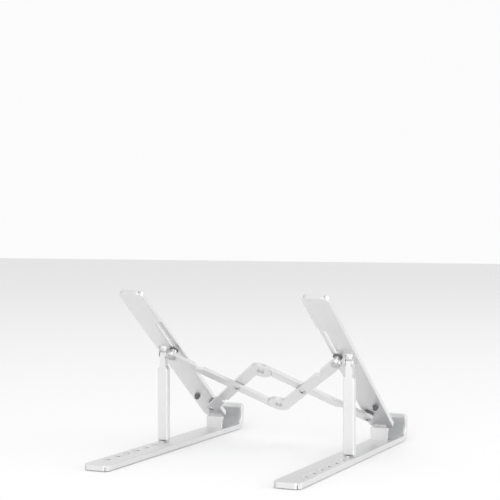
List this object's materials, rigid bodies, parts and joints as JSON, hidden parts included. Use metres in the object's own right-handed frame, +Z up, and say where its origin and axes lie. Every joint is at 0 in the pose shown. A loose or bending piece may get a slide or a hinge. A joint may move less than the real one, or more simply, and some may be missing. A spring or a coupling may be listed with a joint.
{
  "type": "laptop stand",
  "caption": "Foldable laptop stand: hooked base rails, sloping upper rails on struts, joined by a scissor of flat links.",
  "frame": {"origin": "on the floor, at the middle of the stand's footprint", "axes": "+Z up, the user and the hooks at -Y, the user's right at +X"},
  "size_m": [0.1864, 0.249, 0.1407],
  "materials": {
    "aluminium": "bead-blasted, anodised, satin",
    "steel": "nickel plated, satin",
    "silicone": "matte",
    "bumper": "matte",
    "washer": "matte nylon"
  },
  "bodies": {
    "left_base": {"base_rail_left": "aluminium", "hinge_pin_left": "steel", "hook_pad_left": "silicone", "front_foot_left": "silicone", "rear_foot_left": "silicone"},
    "left_upper": {"upper_rail_left": "aluminium", "front_pad_left": "silicone", "rear_pad_left": "silicone", "strut_bracket_left": "aluminium", "strut_pin_left": "steel", "strut_bumper_left": "bumper", "pivot_rivet_left": "steel", "pivot_washer_left": "washer"},
    "left_strut": {"strut_left": "aluminium"},
    "left_fixed_link": {"fixed_link_left": "aluminium", "cross_rivet_left": "steel", "top_centre_rivet": "steel"},
    "left_sliding_link": {"sliding_link_left": "aluminium", "slide_pin_left": "steel", "slide_washer_left": "washer", "slide_spacer_left": "steel", "bottom_centre_rivet": "steel"},
    "right_base": {"base_rail_right": "aluminium", "hinge_pin_right": "steel", "hook_pad_right": "silicone", "front_foot_right": "silicone", "rear_foot_right": "silicone"},
    "right_upper": {"upper_rail_right": "aluminium", "front_pad_right": "silicone", "rear_pad_right": "silicone", "strut_bracket_right": "aluminium", "strut_pin_right": "steel", "strut_bumper_right": "bumper", "pivot_rivet_right": "steel", "pivot_washer_right": "washer"},
    "right_strut": {"strut_right": "aluminium"},
    "right_fixed_link": {"fixed_link_right": "aluminium", "cross_rivet_right": "steel"},
    "right_sliding_link": {"sliding_link_right": "aluminium", "slide_pin_right": "steel", "slide_washer_right": "washer", "slide_spacer_right": "steel"}
  },
  "joints": [
    {"name": "tilt_left", "type": "hinge", "parent": "left_base", "child": "left_upper", "pos_m": [-0.082, -0.0846, 0.0145], "axis": [1, 0, 0], "range_deg": [0, 40]},
    {"name": "strut_swing_left", "type": "hinge", "parent": "left_upper", "child": "left_strut", "pos_m": [-0.0863, 0.00488, 0.08203], "axis": [-1, 0, 0], "range_deg": [0, 52.7]},
    {"name": "fold", "type": "hinge", "parent": "left_upper", "child": "left_fixed_link", "pos_m": [-0.07601, -0.06691, 0.02609], "axis": [0, -0.606, 0.7955], "range_deg": [0, 43.53]},
    {"name": "centre_fold", "type": "hinge", "parent": "left_fixed_link", "child": "right_fixed_link", "pos_m": [0, -0.00961, 0.06974], "axis": [0, -0.606, 0.7955], "range_deg": [-87.15, 0]},
    {"name": "cross_left", "type": "hinge", "parent": "left_fixed_link", "child": "left_sliding_link", "pos_m": [-0.03103, -0.02969, 0.05445], "axis": [0, -0.606, 0.7955], "range_deg": [-87.15, 0]},
    {"name": "cross_right", "type": "hinge", "parent": "right_fixed_link", "child": "right_sliding_link", "pos_m": [0.03103, -0.02969, 0.05445], "axis": [0, -0.606, 0.7955], "range_deg": [0, 87.15]},
    {"name": "right_fold", "type": "hinge", "parent": "right_fixed_link", "child": "right_upper", "pos_m": [0.07601, -0.06691, 0.02609], "axis": [0, -0.606, 0.7955], "range_deg": [0, 43.63]},
    {"name": "tilt_right", "type": "hinge", "parent": "right_upper", "child": "right_base", "pos_m": [0.082, -0.0846, 0.0145], "axis": [1, 0, 0], "range_deg": [-40.1, 0]},
    {"name": "strut_swing_right", "type": "hinge", "parent": "right_upper", "child": "right_strut", "pos_m": [0.0863, 0.00488, 0.08203], "axis": [-1, 0, 0], "range_deg": [0, 52.7]}
  ],
  "couplings": [
    {"joint": "centre_fold", "follows": "fold", "ratio": -2},
    {"joint": "cross_left", "follows": "fold", "ratio": -2},
    {"joint": "cross_right", "follows": "fold", "ratio": 2},
    {"joint": "right_fold", "follows": "fold", "ratio": 1},
    {"joint": "tilt_right", "follows": "tilt_left", "ratio": -1}
  ]
}
